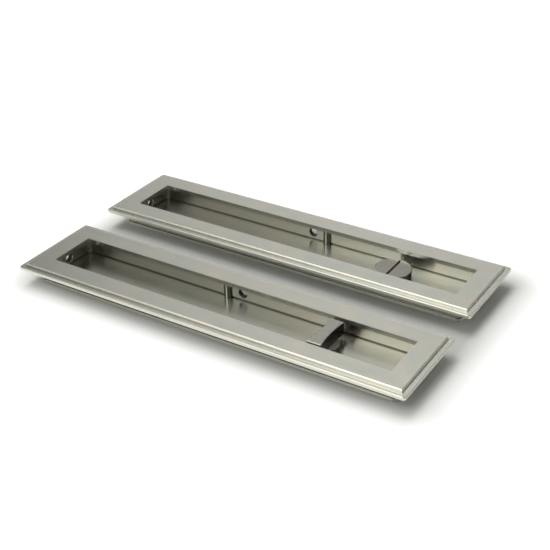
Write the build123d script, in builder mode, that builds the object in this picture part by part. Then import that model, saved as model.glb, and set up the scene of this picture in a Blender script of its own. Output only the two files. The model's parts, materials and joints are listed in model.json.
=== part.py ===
# Rectangular flush pull privacy set: an inside pull with a thumb turn and an outside pull with a coin release.
# Each pull is a stepped cast frame over a screwed floor plate, with the turn running on a bush in that plate.
# Millimetres, +Z up. The two pulls lie face up on one surface, their length along X.
import os
from math import radians, tan
from build123d import *

# Where the two pulls lie
pull_spacing = 83.0
pull_stagger = 2.0

# Cast face frame
plate_length = 250.0
plate_width = 60.0
overall_height = 13.4
flange_thick = 3.5
flange_overhang = 8.5
step_inset = 3.0
step_height = 1.5
plate_corner = 1.6
border_width = 15.0
lip_thick = 2.5
rim_wall = 3.5
rim_corner = 3.0
foot_relief = 0.8
step_ease = 0.8
plate_ease = 0.4
mouth_draft = 5.0

# Screw bosses inside the rim
boss_radius = 2.6
boss_setback = 0.2
mid_boss_offset = 10.0

# Tapped fixing holes through the rim
fixing_tap_radius = 3.0
fixing_hole_lift = 4.6

# Floor plate and its screws
floor_thick = 2.0
floor_ease = 0.3
screw_radius = 1.25
screw_head_radius = 2.3
screw_sink_angle = 90.0
screw_reach = 5.0
screw_tap_spare = 1.0
back_sink = 0.05
thread_clearance = 0.05

# Spindle bush, washer and the fits of the turns
spindle_offset = 64.0
spindle_square = 5.0
spindle_clearance = 0.1
bush_bore_radius = 3.65
bush_wall = 1.15
bush_rise = 2.9
bush_foot_width = 1.2
bush_foot_thick = 0.8
seat_clearance = 0.03
running_clearance = 0.06
washer_thick = 0.5
washer_width = 1.4
axial_gap = 0.1
socket_headroom = 0.2

# Thumb turn
turn_drop = 0.5
turn_length = 25.2
turn_end_width = 8.4
turn_waist_width = 6.4
turn_foot_waist_width = 8.2
turn_lift = 3.6
turn_collar_radius = 7.8
turn_socket_depth = 3.2
turn_ease = 0.3

# Coin release
release_drop = 4.5
release_radius = 11.0
coin_slot_width = 1.6
coin_slot_depth = 1.8
release_socket_depth = 1.3
release_ease = 0.3

# Grub screws that keep the turns on their bushes
grub_radius = 0.9
grub_tip_radius = 0.55
grub_tip_length = 0.7
grub_groove_depth = 0.7
grub_groove_clearance = 0.15
grub_sink = 0.3

# Levels and outlines that follow from the sizes above
flange_under = overall_height - flange_thick
ledge_level = overall_height - step_height
lip_under = overall_height - lip_thick
opening_length = plate_length - 2 * border_width
opening_width = plate_width - 2 * border_width
rim_length = plate_length - 2 * flange_overhang
rim_width = plate_width - 2 * flange_overhang
cavity_length = rim_length - 2 * rim_wall
cavity_width = rim_width - 2 * rim_wall
fixing_hole_level = floor_thick + fixing_hole_lift
boss_x = cavity_length / 2 + boss_setback
boss_y = cavity_width / 2 + boss_setback
boss_height = lip_under - floor_thick
boss_points = [
    (-boss_x, -boss_y),
    (-boss_x, boss_y),
    (boss_x, -boss_y),
    (boss_x, boss_y),
    (-mid_boss_offset, -boss_y),
    (-mid_boss_offset, boss_y),
]
bush_radius = bush_bore_radius + bush_wall
bush_foot_radius = bush_radius + bush_foot_width
bush_top = floor_thick + bush_rise
turn_bottom = floor_thick + washer_thick + axial_gap
socket_radius = bush_radius + running_clearance
socket_top = bush_top + socket_headroom
grub_level = (turn_bottom + socket_top) / 2
groove_radius = bush_radius - grub_groove_depth
groove_half = grub_tip_radius + grub_groove_clearance
grub_reach = groove_radius + grub_groove_clearance
grub_hole_radius = grub_radius + thread_clearance
turn_top = overall_height - turn_drop
turn_under = floor_thick + turn_lift
release_top = overall_height - release_drop

os.makedirs("parts", exist_ok=True)


# The stepped plate, its rim and bosses, cast as one piece, with the mouth and the undercut finger grip open
def make_face_frame(base):
    with BuildPart() as frame:
        with BuildSketch(base.offset(flange_under)):
            RectangleRounded(plate_length, plate_width, plate_corner)
        extrude(amount=flange_thick - step_height)
        chamfer(frame.edges().group_by(Axis.Z)[-1], plate_ease)
        with BuildSketch(base.offset(ledge_level)):
            Rectangle(plate_length - 2 * step_inset, plate_width - 2 * step_inset)
        extrude(amount=step_height)
        fillet(frame.edges().group_by(Axis.Z)[-1], step_ease)
        with BuildSketch(base.offset(floor_thick)):
            RectangleRounded(rim_length, rim_width, rim_corner)
        extrude(amount=flange_under - floor_thick)
        with BuildSketch(base.offset(floor_thick)):
            RectangleRounded(rim_length, rim_width, rim_corner)
            RectangleRounded(
                rim_length - 2 * foot_relief,
                rim_width - 2 * foot_relief,
                rim_corner - foot_relief,
                mode=Mode.SUBTRACT,
            )
        extrude(amount=foot_relief, mode=Mode.SUBTRACT)
        with BuildSketch(base.offset(overall_height)):
            Rectangle(opening_length, opening_width)
        extrude(amount=-lip_thick, taper=mouth_draft, mode=Mode.SUBTRACT)
        with BuildSketch(base.offset(floor_thick)):
            Rectangle(cavity_length, cavity_width)
        extrude(amount=lip_under - floor_thick, mode=Mode.SUBTRACT)
        with BuildSketch(base.offset(floor_thick)):
            Rectangle(cavity_length + 2 * foot_relief, cavity_width + 2 * foot_relief)
        extrude(amount=foot_relief, mode=Mode.SUBTRACT)
        with BuildSketch(base.offset(floor_thick)):
            with Locations(*boss_points):
                Circle(boss_radius)
        extrude(amount=boss_height)
        with BuildSketch(base.offset(floor_thick)):
            with Locations(*boss_points):
                Circle(screw_radius + thread_clearance)
        extrude(amount=screw_reach + screw_tap_spare, mode=Mode.SUBTRACT)
        for wall in rim_wall_planes(base):
            with Locations(wall):
                Hole(fixing_tap_radius, rim_wall)
    return frame.part


# A plane on the inner face of each rim wall, at the middle of its length and looking into the recess
def rim_wall_planes(base):
    along = base.x_dir
    across = base.y_dir
    up = base.z_dir
    middle = base.origin + up * fixing_hole_level
    return [
        Plane(middle + along * (cavity_length / 2), x_dir=across, z_dir=-along),
        Plane(middle - along * (cavity_length / 2), x_dir=across, z_dir=along),
        Plane(middle + across * (cavity_width / 2), x_dir=along, z_dir=-across),
        Plane(middle - across * (cavity_width / 2), x_dir=along, z_dir=across),
    ]


# The sheet that closes the rim from behind, countersunk for its screws and bored for the spindle bush
def make_floor_plate(base, spindle_x):
    with BuildPart() as floor:
        with BuildSketch(base):
            RectangleRounded(rim_length, rim_width, rim_corner)
        extrude(amount=floor_thick)
        chamfer(floor.edges().group_by(Axis.Z)[0], floor_ease)
        for x, y in boss_points:
            hole_mouth = base.from_local_coords(Vector(x, y, 0))
            with Locations(Plane(hole_mouth, x_dir=base.x_dir, z_dir=-base.z_dir)):
                CounterSinkHole(
                    screw_radius + thread_clearance,
                    screw_head_radius + thread_clearance,
                    floor_thick,
                    screw_sink_angle,
                )
        with BuildSketch(base):
            with Locations((spindle_x, 0)):
                Circle(bush_radius + seat_clearance)
        extrude(amount=floor_thick, mode=Mode.SUBTRACT)
        with BuildSketch(base):
            with Locations((spindle_x, 0)):
                Circle(bush_foot_radius + seat_clearance)
        extrude(amount=bush_foot_thick, mode=Mode.SUBTRACT)
    return floor.part


# Countersunk machine screws, one into each boss
def make_floor_screws(base):
    head_depth = (screw_head_radius - screw_radius) / tan(radians(screw_sink_angle / 2))
    with BuildPart() as screws:
        for x, y in boss_points:
            axis_plane = Plane(base.from_local_coords(Vector(x, y, 0)), x_dir=base.x_dir, z_dir=-base.y_dir)
            with BuildSketch(axis_plane):
                with BuildLine():
                    Polyline(
                        (0, back_sink),
                        (screw_head_radius, back_sink),
                        (screw_radius, back_sink + head_depth),
                        (screw_radius, floor_thick + screw_reach),
                        (0, floor_thick + screw_reach),
                        close=True,
                    )
                make_face()
            revolve(axis=Axis(axis_plane.origin, base.z_dir))
    return screws.part


# The flanged bush, let into the floor from behind, with the groove that the grub screw runs in
def make_spindle_bush(base, spindle_x):
    axis_plane = Plane(base.from_local_coords(Vector(spindle_x, 0, 0)), x_dir=base.x_dir, z_dir=-base.y_dir)
    with BuildPart() as bush:
        with BuildSketch(axis_plane):
            with BuildLine():
                Polyline(
                    (bush_bore_radius, back_sink),
                    (bush_foot_radius, back_sink),
                    (bush_foot_radius, bush_foot_thick),
                    (bush_radius, bush_foot_thick),
                    (bush_radius, grub_level - groove_half),
                    (groove_radius, grub_level - groove_half),
                    (groove_radius, grub_level + groove_half),
                    (bush_radius, grub_level + groove_half),
                    (bush_radius, bush_top),
                    (bush_bore_radius, bush_top),
                    close=True,
                )
            make_face()
        revolve(axis=Axis(axis_plane.origin, base.z_dir))
    return bush.part


# The slip washer that the turn rides over
def make_slip_washer(base, spindle_x):
    with BuildPart() as washer:
        with BuildSketch(base.offset(floor_thick)):
            with Locations((spindle_x, 0)):
                Circle(socket_radius + washer_width)
                Circle(socket_radius, mode=Mode.SUBTRACT)
        extrude(amount=washer_thick)
    return washer.part


# The hollow inside a turn: the running bore for its bush, the square for the spindle and the tapped grub hole
def make_turn_hollow(base, spindle_x, socket_depth, grub_face):
    with BuildPart() as hollow:
        with BuildSketch(base.offset(turn_bottom)):
            with Locations((spindle_x, 0)):
                Circle(socket_radius)
        extrude(amount=socket_top - turn_bottom)
        with BuildSketch(base.offset(socket_top)):
            with Locations((spindle_x, 0)):
                Rectangle(spindle_square + spindle_clearance, spindle_square + spindle_clearance)
        extrude(amount=socket_depth)
        with BuildSketch(grub_plane(base, spindle_x)):
            Circle(grub_hole_radius)
        extrude(amount=grub_face)
    return hollow.part


# The plane across the spindle axis that a grub screw points away from, on the hidden side of the turn
def grub_plane(base, spindle_x):
    start = base.from_local_coords(Vector(spindle_x, 0, grub_level))
    return Plane(start, x_dir=(0, 1, 0), z_dir=(-1, 0, 0))


# One level of the thumb turn's grip: straight ends and two sides that curve in to the waist
def make_turn_outline(plane, spindle_x, waist_width):
    half_length = turn_length / 2
    half_end = turn_end_width / 2
    half_waist = waist_width / 2
    with BuildSketch(plane) as outline:
        with BuildLine():
            Line((spindle_x - half_end, half_length), (spindle_x + half_end, half_length))
            ThreePointArc(
                (spindle_x + half_end, half_length),
                (spindle_x + half_waist, 0),
                (spindle_x + half_end, -half_length),
            )
            Line((spindle_x + half_end, -half_length), (spindle_x - half_end, -half_length))
            ThreePointArc(
                (spindle_x - half_end, -half_length),
                (spindle_x - half_waist, 0),
                (spindle_x - half_end, half_length),
            )
        make_face()
    return outline.sketch


# The thumb turn: a grip with scooped sides on a round collar
def make_thumb_turn(base, spindle_x):
    hollow = make_turn_hollow(base, spindle_x, turn_socket_depth, turn_collar_radius)
    foot = make_turn_outline(base.offset(turn_under), spindle_x, turn_foot_waist_width)
    top = make_turn_outline(base.offset(turn_top), spindle_x, turn_waist_width)
    with BuildPart() as turn:
        loft([foot, top])
        chamfer(turn.edges().group_by(Axis.Z)[-1], turn_ease)
        with BuildSketch(base.offset(turn_bottom)):
            with Locations((spindle_x, 0)):
                Circle(turn_collar_radius)
        extrude(amount=turn_under - turn_bottom)
        add(hollow, mode=Mode.SUBTRACT)
    return turn.part


# The round coin release with its slot
def make_coin_release(base, spindle_x):
    hollow = make_turn_hollow(base, spindle_x, release_socket_depth, release_radius)
    with BuildPart() as release:
        with BuildSketch(base.offset(turn_bottom)):
            with Locations((spindle_x, 0)):
                Circle(release_radius)
        extrude(amount=release_top - turn_bottom)
        chamfer(release.edges().group_by(Axis.Z)[-1], release_ease)
        with BuildSketch(base.offset(release_top)):
            with Locations((spindle_x, 0)):
                Rectangle(coin_slot_width, 2 * release_radius)
        extrude(amount=-coin_slot_depth, mode=Mode.SUBTRACT)
        add(hollow, mode=Mode.SUBTRACT)
    return release.part


# The dog-point grub screw, sunk below the turn's side, its tip in the bush's groove
def make_grub_screw(base, spindle_x, grub_face):
    plane = grub_plane(base, spindle_x)
    body_start = grub_reach + grub_tip_length
    body_end = grub_face - grub_sink
    with BuildPart() as grub:
        with BuildSketch(plane.offset(grub_reach)):
            Circle(grub_tip_radius)
        extrude(amount=grub_tip_length)
        with BuildSketch(plane.offset(body_start)):
            Circle(grub_radius)
        extrude(amount=body_end - body_start)
    return grub.part


# Names a finished piece and writes it
def save(part, label):
    part.label = label
    export_step(part, f"parts/{label}.step")


# The outside pull is the same casting turned end for end, so both spindles stand at the same end as they lie
inside_base = Plane((pull_stagger / 2, -pull_spacing / 2, 0), x_dir=(1, 0, 0), z_dir=(0, 0, 1))
outside_base = Plane((-pull_stagger / 2, pull_spacing / 2, 0), x_dir=(-1, 0, 0), z_dir=(0, 0, 1))

for side, base, spindle_x in (
    ("inside", inside_base, spindle_offset),
    ("outside", outside_base, -spindle_offset),
):
    save(make_face_frame(base), f"{side}_face_frame")
    save(make_floor_plate(base, spindle_x), f"{side}_floor_plate")
    save(make_floor_screws(base), f"{side}_floor_screws")
    save(make_spindle_bush(base, spindle_x), f"{side}_spindle_bush")
    save(make_slip_washer(base, spindle_x), f"{side}_slip_washer")

save(make_thumb_turn(inside_base, spindle_offset), "thumb_turn")
save(make_grub_screw(inside_base, spindle_offset, turn_collar_radius), "thumb_turn_grub_screw")
save(make_coin_release(outside_base, -spindle_offset), "coin_release")
save(make_grub_screw(outside_base, -spindle_offset, release_radius), "coin_release_grub_screw")
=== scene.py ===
import json
import math

import bpy
import numpy as np
from mathutils import Matrix, Vector


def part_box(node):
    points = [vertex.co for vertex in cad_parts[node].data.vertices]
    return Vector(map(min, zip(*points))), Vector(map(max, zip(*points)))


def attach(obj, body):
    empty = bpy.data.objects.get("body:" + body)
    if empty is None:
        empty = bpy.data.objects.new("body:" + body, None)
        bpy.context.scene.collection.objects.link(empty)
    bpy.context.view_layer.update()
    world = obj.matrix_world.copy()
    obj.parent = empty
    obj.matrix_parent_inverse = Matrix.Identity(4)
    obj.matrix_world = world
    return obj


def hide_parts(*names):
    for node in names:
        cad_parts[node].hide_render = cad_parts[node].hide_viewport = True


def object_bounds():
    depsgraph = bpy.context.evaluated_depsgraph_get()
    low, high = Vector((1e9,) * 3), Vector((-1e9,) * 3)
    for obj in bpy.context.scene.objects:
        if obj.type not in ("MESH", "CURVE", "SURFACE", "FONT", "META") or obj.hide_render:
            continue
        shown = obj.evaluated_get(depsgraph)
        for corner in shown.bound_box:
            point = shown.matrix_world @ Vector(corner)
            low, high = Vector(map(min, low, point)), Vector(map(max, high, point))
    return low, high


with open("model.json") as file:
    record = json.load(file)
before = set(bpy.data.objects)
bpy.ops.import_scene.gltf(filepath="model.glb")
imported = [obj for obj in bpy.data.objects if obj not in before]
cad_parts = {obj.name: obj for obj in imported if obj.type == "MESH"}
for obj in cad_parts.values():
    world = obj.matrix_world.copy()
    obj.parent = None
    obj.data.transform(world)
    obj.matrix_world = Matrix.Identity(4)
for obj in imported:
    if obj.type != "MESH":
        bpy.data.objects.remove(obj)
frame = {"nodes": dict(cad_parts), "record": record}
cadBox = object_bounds()
scene = bpy.context.scene
scene.view_settings.view_transform = "Standard"
mm = 0.001
print("frame loaded:", len(frame["nodes"]), "nodes")

# the two pulls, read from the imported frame; the outside one is turned end for end
pulls = {}
for side, heading in (("inside", 1), ("outside", -1)):
    low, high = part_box(side + "_face_frame")
    pulls[side] = dict(centre=(low + high) / 2, heading=heading)

# a Mix node's sockets for its two inputs and its result, by the kind of value that it mixes
numberA, numberB, numberOut = 2, 3, 0
vectorA, vectorB, vectorOut = 4, 5, 1
colourA, colourB, colourOut = 6, 7, 2


def hexToLinear(code):
    # sRGB hex to linear: the low end is a straight line, the rest a 2.4 power curve
    parts = [int(code[i:i + 2], 16) / 255 for i in (1, 3, 5)]
    linear = [p / 12.92 if p <= 0.04045 else ((p + 0.055) / 1.055) ** 2.4 for p in parts]
    return (*linear, 1.0)


def addNode(tree, kind, inputs=None, **settings):
    # one node with its settings; an input is either a value or a socket to link from
    node = tree.nodes.new(kind)
    for name, value in settings.items():
        setattr(node, name, value)
    for socket, value in (inputs or {}).items():
        if isinstance(value, bpy.types.NodeSocket):
            tree.links.new(value, node.inputs[socket])
        else:
            node.inputs[socket].default_value = value
    return node


def newMaterial(name):
    material = bpy.data.materials.new(name)
    material.use_nodes = True
    material.node_tree.nodes.clear()
    return material, material.node_tree


# camera, found from the corners and edges of both pulls in the picture
view = dict(
    azimuth=32.392,
    elevation=30.679,
    roll=-1.078,
    distance=661.83 * mm,
    target=Vector((-0.18, 12.62, 0.0)) * mm,
    focalPixels=1114.5,
    framePixels=550,
    sensor=36.0,
    clip=(0.01, 50.0),
)


def placeCamera():
    # stands back from the target along one direction and is rolled about it
    azimuth, elevation, roll = (math.radians(view[k]) for k in ("azimuth", "elevation", "roll"))
    flat = math.cos(elevation)
    back = Vector((math.sin(azimuth) * flat, -math.cos(azimuth) * flat, math.sin(elevation)))
    level = Vector((math.cos(azimuth), math.sin(azimuth), 0))
    rise = back.cross(level)
    right = level * math.cos(roll) + rise * math.sin(roll)
    up = rise * math.cos(roll) - level * math.sin(roll)
    turn = Matrix((right, up, back)).transposed().to_4x4()
    data = bpy.data.cameras.new("photoView")
    data.sensor_width = view["sensor"]
    data.lens = view["focalPixels"] / view["framePixels"] * view["sensor"]
    data.clip_start, data.clip_end = view["clip"]
    camera = bpy.data.objects.new("photoView", data)
    camera.matrix_world = Matrix.Translation(view["target"] + back * view["distance"]) @ turn
    scene.collection.objects.link(camera)
    scene.camera = camera


placeCamera()
print("camera placed")

# studio: a dim bank behind, a bright card in front just left of the middle, a soft box overhead to the left,
# and weak fill high on the right and low on both sides
lights = ("bank", "card", "box", "loft", "low")
openStart, openEnd = (-3.0, -2.0), (2.0, 3.0)  # fades past the edge of the dome, so the light runs on to it
studio = dict(
    # a light's brightness by how far a direction leans along X, from -1 (left) to 1 (right),
    # and its fades along Y and Z: where it starts, is full, begins to fade and is gone
    bank=(
        (-1.0, 0.50), (-0.86, 0.42), (-0.75, 0.20), (-0.6, 0.44), (-0.47, 0.54), (-0.3, 0.44), (-0.05, 0.33),
        (0.15, 0.20), (0.4, 0.09), (0.54, 0.06), (0.64, 0.24), (0.74, 0.40), (0.86, 0.42), (1.0, 0.42),
    ),
    bankFade={"Y": (-0.2, 0.2, *openEnd)},
    card=(
        (-1.0, 0.45), (-0.86, 0.35), (-0.76, 0.12), (-0.62, 0.28), (-0.53, 0.52), (-0.42, 1.12),
        (-0.36, 2.00), (-0.25, 2.25), (-0.12, 0.70), (0.02, 0.02), (0.75, 0.0), (0.9, 0.30), (1.0, 0.40),
    ),
    cardFade={"Y": (*openStart, -0.40, -0.20), "Z": (0.08, 0.20, 0.75, 0.90)},
    box=(
        (-1.0, 0.0), (-0.8, 0.2), (-0.6, 5.0), (-0.3, 5.0),
        (-0.1, 1.6), (0.05, 0.2), (0.2, 0.0), (1.0, 0.0),
    ),
    boxFade={"Y": (-0.5, -0.1, *openEnd), "Z": (0.78, 0.90, *openEnd)},
    loft=((-1.0, 0.0), (-0.1, 0.0), (0.15, 0.26), (1.0, 0.26)),
    loftFade={"Z": (0.58, 0.72, *openEnd)},
    low=((-1.0, 0.40), (-0.86, 0.35), (-0.76, 0.0), (-0.15, 0.0), (0.1, 0.35), (1.0, 0.35)),
    lowFade={"Z": (0.10, 0.18, 0.32, 0.42)},
    fill=0.02,
)


def lightStudio():
    # the dome is the sum of the lights, each a curve along X times smooth fades along Y and Z
    world = bpy.data.worlds.new("studioDome")
    world.use_nodes = True
    scene.world = world
    tree = world.node_tree
    tree.nodes.clear()
    direction = addNode(tree, "ShaderNodeTexCoord").outputs["Generated"]
    lean = addNode(tree, "ShaderNodeSeparateXYZ", {0: direction}).outputs
    share = addNode(tree, "ShaderNodeMapRange", {"Value": lean["X"], "From Min": -1.0, "From Max": 1.0})
    total = studio["fill"]
    for light in lights:
        stops = studio[light]
        peak = max(brightness for _, brightness in stops)
        ramp = addNode(tree, "ShaderNodeFloatCurve", {"Value": share.outputs[0]})
        curve = ramp.mapping.curves[0]
        while len(curve.points) < len(stops):
            curve.points.new(0.5, 0.5)
        for point, (x, brightness) in zip(curve.points, stops):
            point.location = ((x + 1) / 2, brightness / peak)
            point.handle_type = "AUTO_CLAMPED"
        ramp.mapping.update()
        beam = addNode(tree, "ShaderNodeMath", {0: ramp.outputs[0], 1: peak}, operation="MULTIPLY").outputs[0]
        for axis, (start, full, fading, gone) in studio[light + "Fade"].items():
            for dark, bright in ((start, full), (gone, fading)):
                fade = addNode(tree, "ShaderNodeMapRange", {
                    "Value": lean[axis], "From Min": dark, "From Max": bright,
                }, interpolation_type="SMOOTHSTEP").outputs[0]
                beam = addNode(tree, "ShaderNodeMath", {0: fade, 1: beam}, operation="MULTIPLY").outputs[0]
        total = addNode(tree, "ShaderNodeMath", {0: beam, 1: total}, operation="ADD").outputs[0]
    dome = addNode(tree, "ShaderNodeBackground", {"Color": (1, 1, 1, 1), "Strength": total})
    addNode(tree, "ShaderNodeOutputWorld", {"Surface": dome.outputs[0]})


# paper under the pulls, in metres; its glow grows with how far a point lies outside their feet
paperLook = dict(
    colour="#D2D2CE", hub=0.2, radius=3.0, cove=0.3, wall=0.8, sides=64, bendSteps=9,
    glow=0.84, glowFrom=0.004, glowTo=0.034, glowInset=(0.0085, 0.0085, 0.0), glowShift=(0.003, 0.005, 0.0),
)


def layPaper():
    # a flat disc whose edge sweeps up in a quarter circle to a low wall all round
    radius, cove, sides = (paperLook[k] for k in ("radius", "cove", "sides"))
    bend = np.linspace(0, math.pi / 2, paperLook["bendSteps"])
    r = np.concatenate(([paperLook["hub"], radius / 2], radius - cove + cove * np.sin(bend), [radius]))
    z = np.concatenate(([0.0, 0.0], cove - cove * np.cos(bend), [paperLook["wall"]]))
    turn = np.linspace(0, 2 * math.pi, sides, endpoint=False)
    across, along, upright = np.outer(r, np.cos(turn)), np.outer(r, np.sin(turn)), np.outer(z, np.ones(sides))
    ring = np.stack([across, along, upright], axis=2)
    points = np.concatenate([ring.reshape(-1, 3), [[0, 0, 0]]])
    row, col = np.meshgrid(np.arange(len(r) - 1), np.arange(sides), indexing="ij")
    a = row * sides + col
    b = row * sides + (col + 1) % sides
    quads = np.stack([a + sides, b + sides, b, a], axis=2).reshape(-1, 4)
    hub = np.stack([np.full(sides, len(points) - 1), a[0], b[0]], axis=1)
    mesh = bpy.data.meshes.new("paperSweep")
    mesh.from_pydata(points.tolist(), [], quads.tolist() + hub.tolist())
    paper = bpy.data.objects.new("paperSweep", mesh)
    scene.collection.objects.link(paper)
    mesh.materials.append(glowingPaper())


def glowingPaper():
    # matt paper: its own pale grey keeps the shadows, and a glow that grows away from the pulls lifts the
    # rest to white;
    # with no glow at their feet it paints shade round them, and its shift moves that painted shade to the
    # right and behind
    material, tree = newMaterial("white paper, matt")
    matt = addNode(tree, "ShaderNodeBsdfDiffuse", {"Color": hexToLinear(paperLook["colour"])})
    path = addNode(tree, "ShaderNodeLightPath").outputs
    seen = path["Is Camera Ray"]
    for ray in ("Is Glossy Ray", "Is Transmission Ray"):
        seen = addNode(tree, "ShaderNodeMath", {0: seen, 1: path[ray]}, operation="MAXIMUM").outputs[0]
    feet = Vector(cadBox[1]) - Vector(paperLook["glowInset"])
    apart = addNode(tree, "ShaderNodeTexCoord").outputs["Object"]
    shift, none = paperLook["glowShift"], (0, 0, 0)
    for step, second in (("SUBTRACT", shift), ("ABSOLUTE", none), ("SUBTRACT", feet), ("MAXIMUM", none)):
        apart = addNode(tree, "ShaderNodeVectorMath", {0: apart, 1: second}, operation=step).outputs[0]
    away = addNode(tree, "ShaderNodeVectorMath", {0: apart}, operation="LENGTH").outputs["Value"]
    glow = addNode(tree, "ShaderNodeMapRange", {
        "Value": away, "From Min": paperLook["glowFrom"], "From Max": paperLook["glowTo"],
        "To Max": paperLook["glow"],
    }).outputs[0]
    lit = addNode(tree, "ShaderNodeMath", {0: seen, 1: glow}, operation="MULTIPLY").outputs[0]
    lift = addNode(tree, "ShaderNodeEmission", {"Strength": lit})
    both = addNode(tree, "ShaderNodeAddShader", {0: matt.outputs[0], 1: lift.outputs[0]})
    addNode(tree, "ShaderNodeOutputMaterial", {"Surface": both.outputs[0]})
    return material


lightStudio()
layPaper()
print("studio lit")

# how the brush noise is read, alike on every brushed piece: the tilts past which a face counts as an end or
# a side, the detail of streaks and clouds, and the range of noise that they use
brushNoise = dict(
    endTilt=0.7, sideTilt=0.5, streakDetail=3.0, streakRoughness=0.6, cloudDetail=2.0,
    streakRange=(0.25, 0.75), cloudRange=(0.38, 0.62),
)


def brushedSteel(name, look):
    # brushed steel: noise drawn out along the brush and soft clouds shade its colour and gloss,
    # and its highlights spread across the brush
    material, tree = newMaterial(name)
    coords = addNode(tree, "ShaderNodeTexCoord").outputs
    place = coords["Object"]
    facing = addNode(tree, "ShaderNodeVectorMath", {0: coords["Normal"]}, operation="ABSOLUTE").outputs[0]
    facing = addNode(tree, "ShaderNodeSeparateXYZ", {0: facing}).outputs
    onEnd = addNode(tree, "ShaderNodeMath", {
        0: facing[look["brush"]], 1: brushNoise["endTilt"],
    }, operation="GREATER_THAN").outputs[0]
    onSide = addNode(tree, "ShaderNodeMath", {
        0: facing["Z"], 1: brushNoise["sideTilt"],
    }, operation="LESS_THAN").outputs[0]

    # streaks run along the brush, and the other way on faces that look along it
    long, fine = 1 / look["streakLength"], 1 / look["streakWidth"]
    lengthwise, crosswise = (long, fine, fine), (fine, long, fine)
    brush, other = (1, 0, 0), (0, 1, 0)
    if look["brush"] == "Y":
        lengthwise, crosswise = crosswise, lengthwise
        brush, other = other, brush
    main = addNode(tree, "ShaderNodeVectorMath", {0: place, 1: lengthwise}, operation="MULTIPLY").outputs[0]
    ends = addNode(tree, "ShaderNodeVectorMath", {0: place, 1: crosswise}, operation="MULTIPLY").outputs[0]
    streak = addNode(tree, "ShaderNodeMix", {
        "Factor": onEnd, vectorA: main, vectorB: ends,
    }, data_type="VECTOR").outputs[vectorOut]
    lines = addNode(tree, "ShaderNodeTexNoise", {
        "Vector": streak, "Scale": 1.0,
        "Detail": brushNoise["streakDetail"], "Roughness": brushNoise["streakRoughness"],
    }).outputs[0]
    cloud = addNode(tree, "ShaderNodeTexNoise", {
        "Vector": place, "Scale": 1 / look["cloudSize"], "Detail": brushNoise["cloudDetail"],
    }).outputs[0]
    lines = addNode(tree, "ShaderNodeMix", {
        "Factor": look["cloudShare"], numberA: lines, numberB: cloud,
    }).outputs[numberOut]
    along = addNode(tree, "ShaderNodeMix", {
        "Factor": onEnd, vectorA: brush, vectorB: other,
    }, data_type="VECTOR").outputs[vectorOut]
    along = addNode(tree, "ShaderNodeVectorTransform", {
        0: along,
    }, convert_from="OBJECT", convert_to="WORLD").outputs[0]
    normal = addNode(tree, "ShaderNodeNewGeometry").outputs["Normal"]
    across = addNode(tree, "ShaderNodeVectorMath", {0: normal, 1: along}, operation="CROSS_PRODUCT")

    # gloss and tone swing with the streaks, and the clouds warm the colour in patches
    faint, strong = brushNoise["streakRange"]
    mean, swing = look["roughness"], look["roughnessSwing"]
    rough = addNode(tree, "ShaderNodeMapRange", {
        "Value": lines, "From Min": faint, "From Max": strong, "To Min": mean - swing, "To Max": mean + swing,
    }).outputs[0]
    rough = addNode(tree, "ShaderNodeMix", {
        "Factor": onSide, numberA: rough, numberB: look["sideRoughness"],
    }).outputs[numberOut]
    swing = look["toneSwing"]
    tone = addNode(tree, "ShaderNodeMapRange", {
        "Value": lines, "From Min": faint, "From Max": strong, "To Min": 1 - swing, "To Max": 1 + swing,
    }).outputs[0]
    faint, strong = brushNoise["cloudRange"]
    patch = addNode(tree, "ShaderNodeMapRange", {"Value": cloud, "From Min": faint, "From Max": strong})
    shade = addNode(tree, "ShaderNodeMix", {
        "Factor": patch.outputs[0], colourA: hexToLinear(look["colour"]), colourB: hexToLinear(look["warm"]),
    }, data_type="RGBA").outputs[colourOut]
    # painted light and shade on the sides: lighter on the floor sheet's edge, darker on the turn and release
    if "paintedSideColour" in look:
        shade = addNode(tree, "ShaderNodeMix", {
            "Factor": onSide, colourA: shade, colourB: hexToLinear(look["paintedSideColour"]),
        }, data_type="RGBA").outputs[colourOut]
    colour = addNode(tree, "ShaderNodeVectorMath", {0: shade, "Scale": tone}, operation="SCALE").outputs[0]
    metal = addNode(tree, "ShaderNodeBsdfPrincipled", {
        "Base Color": colour,
        "Metallic": 1.0,
        "Roughness": rough,
        "Anisotropic": look["anisotropy"],
        "Tangent": across.outputs[0],
    })
    addNode(tree, "ShaderNodeOutputMaterial", {"Surface": metal.outputs[0]})
    return material, tree, coords, metal


# satin stainless steel of the cast frames; its streaks are coarser than real brush lines so that they show
frameLook = dict(
    colour="#CACCC1", warm="#CECBBF", brush="X", roughness=0.22, sideRoughness=0.19, roughnessSwing=0.012,
    anisotropy=0.9, streakWidth=0.6 * mm, streakLength=45 * mm, cloudSize=14 * mm, cloudShare=0.35,
    toneSwing=0.06,
)
# where the posts stand in each pull, in millimetres from its centre, and how bright they are polished
postLook = dict(corner=(113.2, 18.2), middle=(-10.0, 18.2), reach=2.8, top=10.8, roughness=0.16)
# the painted shade below a height in millimetres, dark in the groove at the foot, and the hand-broken edges,
# known by how far they face up
grooveShadeLook = dict(colour="#6E6C62", top=2.15, roughness=0.6)
edgeLook = dict(tilt=0.65, spread=0.3, roughness=0.42)


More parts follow.
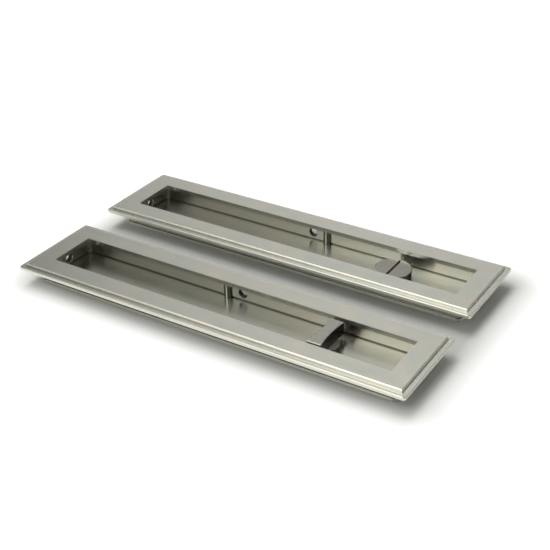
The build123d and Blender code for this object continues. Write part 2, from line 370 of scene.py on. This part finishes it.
def frameSteel(side, pull):
    # satin frame with bright posts, softer glints on its broken edges
    # and painted shade in the groove at its foot
    material, tree, coords, metal = brushedSteel("satin stainless steel, " + side + " frame", frameLook)
    place = coords["Object"]
    level = addNode(tree, "ShaderNodeSeparateXYZ", {0: place}).outputs["Z"]
    local = addNode(tree, "ShaderNodeVectorMath", {0: place, 1: pull["centre"]}, operation="SUBTRACT")
    apart = addNode(tree, "ShaderNodeVectorMath", {0: local.outputs[0]}, operation="ABSOLUTE")
    local = addNode(tree, "ShaderNodeSeparateXYZ", {0: local.outputs[0]}).outputs
    apart = addNode(tree, "ShaderNodeSeparateXYZ", {0: apart.outputs[0]}).outputs

    # how far a point lies from the nearest post: one in each corner and two beside the middle
    (cornerX, cornerY), (middleX, middleY) = postLook["corner"], postLook["middle"]
    gaps = []
    for along, x, y in ((apart["X"], cornerX, cornerY), (local["X"], middleX * pull["heading"], middleY)):
        flat = addNode(tree, "ShaderNodeCombineXYZ", {"X": along, "Y": apart["Y"]}).outputs[0]
        gap = addNode(tree, "ShaderNodeVectorMath", {0: flat, 1: (x * mm, y * mm, 0)}, operation="DISTANCE")
        gaps.append(gap.outputs["Value"])
    nearest = addNode(tree, "ShaderNodeMath", {0: gaps[0], 1: gaps[1]}, operation="MINIMUM").outputs[0]
    beside = addNode(tree, "ShaderNodeMath", {0: nearest, 1: postLook["reach"] * mm}, operation="LESS_THAN")
    below = addNode(tree, "ShaderNodeMath", {0: level, 1: postLook["top"] * mm}, operation="LESS_THAN")
    onPost = addNode(tree, "ShaderNodeMath", {
        0: beside.outputs[0], 1: below.outputs[0],
    }, operation="MULTIPLY")
    upward = addNode(tree, "ShaderNodeSeparateXYZ", {0: coords["Normal"]}).outputs["Z"]
    onEdge = addNode(tree, "ShaderNodeMath", {
        0: upward, 1: edgeLook["tilt"], 2: edgeLook["spread"],
    }, operation="COMPARE")
    inShadedGroove = addNode(tree, "ShaderNodeMath", {0: level, 1: grooveShadeLook["top"] * mm}, operation="LESS_THAN")

    rough = metal.inputs["Roughness"].links[0].from_socket
    for mask, look in ((onPost, postLook), (onEdge, edgeLook), (inShadedGroove, grooveShadeLook)):
        rough = addNode(tree, "ShaderNodeMix", {
            "Factor": mask.outputs[0], numberA: rough, numberB: look["roughness"],
        }).outputs[numberOut]
    tree.links.new(rough, metal.inputs["Roughness"])
    # painted shade: below the groove's top the frame's colour turns dark
    satin = metal.inputs["Base Color"].links[0].from_socket
    colour = addNode(tree, "ShaderNodeMix", {
        "Factor": inShadedGroove.outputs[0], colourA: satin, colourB: hexToLinear(grooveShadeLook["colour"]),
    }, data_type="RGBA").outputs[colourOut]
    tree.links.new(colour, metal.inputs["Base Color"])
    return material


# the floor sheet is brushed along its length and mirrors the posts as upright streaks; its sawn edge is
# rough, and its lighter colour is painted light
floorLook = dict(
    colour="#B4B5AB", warm="#B7B4A9", paintedSideColour="#D2D2C8", brush="X", roughness=0.2, sideRoughness=0.6,
    roughnessSwing=0.015, anisotropy=0.95, streakWidth=0.5 * mm, streakLength=60 * mm, cloudSize=18 * mm,
    cloudShare=0.4, toneSwing=0.06,
)
# the thumb turn is brushed along its grip, a little darker than the frame, with smooth sides darkened by
# painted shade
turnLook = dict(
    colour="#C7C8BD", warm="#CAC7BB", paintedSideColour="#85847C", brush="Y", roughness=0.27, sideRoughness=0.12,
    roughnessSwing=0.02, anisotropy=0.7, streakWidth=0.3 * mm, streakLength=12 * mm, cloudSize=5 * mm,
    cloudShare=0.3, toneSwing=0.02,
)
# the coin release is the same steel, darker again, with the same painted shade on its sides
releaseLook = dict(turnLook, colour="#B9B9AD", warm="#BDB8AB")

# the range of noise that the small pieces use, and its detail
grainNoise = dict(low=0.3, high=0.7, detail=2.0)


def speckled(name, look):
    # plain made surface: fine noise breaks up its gloss and tone so that it isn't one flat colour
    material, tree = newMaterial(name)
    place = addNode(tree, "ShaderNodeTexCoord").outputs["Object"]
    noise = addNode(tree, "ShaderNodeTexNoise", {
        "Vector": place, "Scale": 1 / look["grain"], "Detail": grainNoise["detail"],
    }).outputs[0]
    swings = []
    for mean in (look["roughness"], 1):
        swings.append(addNode(tree, "ShaderNodeMapRange", {
            "Value": noise, "From Min": grainNoise["low"], "From Max": grainNoise["high"],
            "To Min": mean - look["swing"], "To Max": mean + look["swing"],
        }).outputs[0])
    rough, tone = swings
    flat = hexToLinear(look["colour"])[:3]
    shade = addNode(tree, "ShaderNodeVectorMath", {0: flat, "Scale": tone}, operation="SCALE").outputs[0]
    surface = addNode(tree, "ShaderNodeBsdfPrincipled", {
        "Base Color": shade, "Metallic": look["metallic"], "Roughness": rough,
    })
    if "ior" in look:
        surface.inputs["IOR"].default_value = look["ior"]
    addNode(tree, "ShaderNodeOutputMaterial", {"Surface": surface.outputs[0]})
    return material


def dress(node, material):
    for slot in frame["nodes"][node].material_slots:
        slot.material = material


# turned screws are bright and grey, with fine tool marks
screwSteel = speckled("stainless screw steel, turned", dict(
    colour="#A8A8A2", metallic=1.0, roughness=0.3, grain=0.4 * mm, swing=0.06,
))
# the threads are painted dark, a painted shade for the inside of the holes, and uneven
shadedTapSteel = speckled("tapped steel, painted shade", dict(
    colour="#4A4A44", metallic=1.0, roughness=0.35, grain=0.3 * mm, swing=0.1,
))
# turned brass is a warm yellow with a soft shine
brass = speckled("turned brass", dict(
    colour="#C8A860", metallic=1.0, roughness=0.25, grain=0.5 * mm, swing=0.05,
))
# moulded nylon is off-white with a dull sheen
nylon = speckled("moulded nylon, matt", dict(
    colour="#D8D6CC", metallic=0.0, roughness=0.5, grain=0.5 * mm, swing=0.04, ior=1.53,
))
for side, pull in pulls.items():
    dress(side + "_face_frame", frameSteel(side, pull))
    dress(side + "_floor_plate", brushedSteel("satin stainless steel, " + side + " floor", floorLook)[0])
    dress(side + "_spindle_bush", brass)
    dress(side + "_slip_washer", nylon)
for node, look in (("thumb_turn", turnLook), ("coin_release", releaseLook)):
    dress(node, brushedSteel("satin stainless steel, " + node.replace("_", " "), look)[0])
print("materials set")

sharpAngle = math.radians(35)  # edges that bend more than this stay crisp


def closedTube(rings):
    # rings of points joined one to the next, with a fan over each end; turned so that faces look outward
    n, m = rings.shape[:2]
    points = np.concatenate([rings.reshape(-1, 3), rings[:1].mean(axis=1), rings[-1:].mean(axis=1)])
    row, col = np.meshgrid(np.arange(n - 1), np.arange(m), indexing="ij")
    a = row * m + col
    b = row * m + (col + 1) % m
    quads = np.stack([a, b, b + m, a + m], axis=2).reshape(-1, 4)
    k = np.arange(m)
    after = (k + 1) % m
    fans = np.concatenate([
        np.stack([np.full(m, n * m), after, k], axis=1),
        np.stack([np.full(m, n * m + 1), (n - 1) * m + k, (n - 1) * m + after], axis=1),
    ])
    # the signed volume of the shell tells whether its faces look inward
    corners = np.concatenate([quads[:, :3], quads[:, [0, 2, 3]], fans])
    p, q, s = (points[corners[:, i]] for i in range(3))
    if np.einsum("ij,ij->i", p, np.cross(q, s)).sum() < 0:
        quads, fans = quads[:, ::-1], fans[:, ::-1]
    return points, quads, fans


def addPiece(name, tubes, material, body):
    # one object from several closed tubes, riding its body
    points, faces, start = [], [], 0
    for tubePoints, quads, fans in tubes:
        points.append(tubePoints)
        faces += (quads + start).tolist() + (fans + start).tolist()
        start += len(tubePoints)
    mesh = bpy.data.meshes.new(name)
    mesh.from_pydata(np.concatenate(points).tolist(), [], faces)
    mesh.materials.append(material)
    piece = bpy.data.objects.new(name, mesh)
    scene.collection.objects.link(piece)
    mesh.shade_smooth()
    mesh.set_sharp_from_angle(angle=sharpAngle)
    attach(piece, body)
    return piece


def around(axis):
    # two directions that stand square to an axis and to each other
    axis = np.array(axis, dtype=float)
    upright = abs(axis[2]) > 0.9
    side = np.cross(axis, (1, 0, 0) if upright else (0, 0, 1))
    side = side / np.linalg.norm(side)
    return axis, side, np.cross(axis, side)


# M6 thread in each fixing hole, in millimetres; its crest stands further in than a real one so that it shows
tapLook = dict(
    pitch=1.0, root=3.04, crest=2.36, rootHalf=0.44, crestHalf=0.07, reach=1.28,
    fade=0.35, sliver=0.02, stepsPerTurn=40,
)


def tapThread(mount):
    # a ridge of trapezium section wound along a helix on the wall of the hole,
    # its crest sinking to the wall at both ends
    axis, side, up = around(mount["axis"])
    root, crest, pitch, reach = (tapLook[k] for k in ("root", "crest", "pitch", "reach"))
    turns = 2 * reach / pitch
    t = np.linspace(0, turns, int(turns * tapLook["stepsPerTurn"]))
    rise = np.clip(np.minimum(t, turns - t) / tapLook["fade"], tapLook["sliver"], 1)
    inner = root - (root - crest) * rise
    outer = np.full_like(t, root)
    r = np.stack([outer, inner, inner, outer], axis=1)
    rootHalf, crestHalf = tapLook["rootHalf"], tapLook["crestHalf"]
    z = (t * pitch - reach)[:, None] + np.array([-rootHalf, -crestHalf, crestHalf, rootHalf])
    angle = (2 * math.pi * t)[:, None, None]
    radial = np.cos(angle) * side + np.sin(angle) * up
    return closedTube(np.array(mount["pos_m"]) + mm * (r[:, :, None] * radial + z[:, :, None] * axis))


threaded = [m for m in frame["record"]["mounts"] if m["kind"] == "threaded_hole"]
for side in pulls:
    threads = [tapThread(m) for m in threaded if m["name"].startswith(side)]
    addPiece(side + "TapThreads", threads, shadedTapSteel, "pull_frames")
print("threads cut")

# countersunk M2.5 floor screws with a cross recess, in millimetres
screwLook = dict(
    head=2.3, headFlat=0.7, shank=1.25, sink=0.05, cone=1.05, reach=7.0, pitch=0.45, depth=0.22,
    tip=0.3, tipShare=0.8, armLength=1.25, armWidth=0.28, recess=0.9, taper=0.45, columns=64, stepsPerTurn=6,
)


def turnedThread(t, angle, look):
    # radius of a screw thread: a triangle wave of the height along the axis minus the share of the turn
    wave = np.abs(((t[:, None] / look["pitch"] - angle[None, :] / (2 * math.pi)) % 1) * 2 - 1)
    return look["shank"] - look["depth"] * wave


def floorScrew(foot):
    # turned about its axis, from the head upward: the cross recess, the flat head, the cone under it
    # and the threaded shank
    s = screwLook
    angle = np.linspace(0, 2 * math.pi, s["columns"], endpoint=False)
    one = np.ones_like(angle)
    # the cross's edge in each direction: the farther of its two arms
    tiny = 1e-9  # keeps the division safe along an arm
    c, d = np.abs(np.cos(angle)) + tiny, np.abs(np.sin(angle)) + tiny
    arm = np.minimum(s["armLength"] / c, s["armWidth"] / d)
    otherArm = np.minimum(s["armWidth"] / c, s["armLength"] / d)
    cross = np.maximum(arm, otherArm)
    heights = np.arange(s["sink"] + s["cone"], s["reach"] - s["tip"], s["pitch"] / s["stepsPerTurn"])
    r = np.concatenate([
        [cross * s["taper"], cross, one * s["head"] * s["headFlat"], one * s["head"]],
        turnedThread(heights, angle, s),
        [one * (s["shank"] - s["depth"]) * s["tipShare"]],
    ])
    z = np.concatenate([[s["sink"] + s["recess"], s["sink"], s["sink"], s["sink"]], heights, [s["reach"]]])
    ring = np.stack([r * np.cos(angle), r * np.sin(angle), z[:, None] * one], axis=2)
    return closedTube(np.array(foot) + ring * mm)


for side, pull in pulls.items():
    centreX, centreY, _ = pull["centre"]
    (cornerX, cornerY), (middleX, middleY) = postLook["corner"], postLook["middle"]
    spots = [(x * cornerX, y * cornerY) for x in (-1, 1) for y in (-1, 1)]
    spots += [(middleX * pull["heading"], y * middleY) for y in (-1, 1)]
    screws = addPiece(
        side + "FloorScrews", [floorScrew((centreX + x * mm, centreY + y * mm, 0)) for x, y in spots],
        screwSteel, "pull_frames",
    )
    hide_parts(side + "_floor_screws")
print("floor screws turned")

# dog-point grub screws with a hexagon socket, in millimetres
grubLook = dict(
    shank=0.9, depth=0.14, pitch=0.4, dog=0.55, dogLength=0.7, edge=0.1,
    key=0.45, keyDepth=0.8, keyTaper=0.95, columns=48, stepsPerTurn=6,
)


def grubScrew(node):
    # turned about the node's own axis, from the dog point outward: point, threaded shank, chamfer
    # and hexagon socket
    g = grubLook
    low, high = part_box(node)
    inner, outer = high.x / mm, low.x / mm
    middleY, middleZ = (low.y + high.y) / 2 / mm, (low.z + high.z) / 2 / mm
    length = inner - outer
    angle = np.linspace(0, 2 * math.pi, g["columns"], endpoint=False)
    one = np.ones_like(angle)
    # the hexagon's edge in each direction: its half width over the cosine of the angle to the nearest flat
    hexagon = g["key"] / np.cos((angle + math.pi / 6) % (math.pi / 3) - math.pi / 6)
    heights = np.arange(g["dogLength"], length - g["edge"], g["pitch"] / g["stepsPerTurn"])
    r = np.concatenate([
        [one * (g["dog"] - g["edge"] / 2), one * g["dog"], one * g["dog"]],
        turnedThread(heights, angle, g),
        [one * (g["shank"] - g["depth"]), hexagon, hexagon * g["keyTaper"]],
    ])
    point, socket = [0, g["edge"] / 2, g["dogLength"]], [length, length, length - g["keyDepth"]]
    t = np.concatenate([point, heights, socket])
    x = inner - t[:, None] * one
    ring = np.stack([x, middleY + r * np.cos(angle), middleZ + r * np.sin(angle)], axis=2)
    return closedTube(ring * mm)


for turn in ("thumb_turn", "coin_release"):
    name = turn.split("_")[0] + "GrubScrew"
    node = turn + "_grub_screw"
    grub = addPiece(name, [grubScrew(node)], screwSteel, turn + "_body")
    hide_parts(node)
print("grub screws turned")
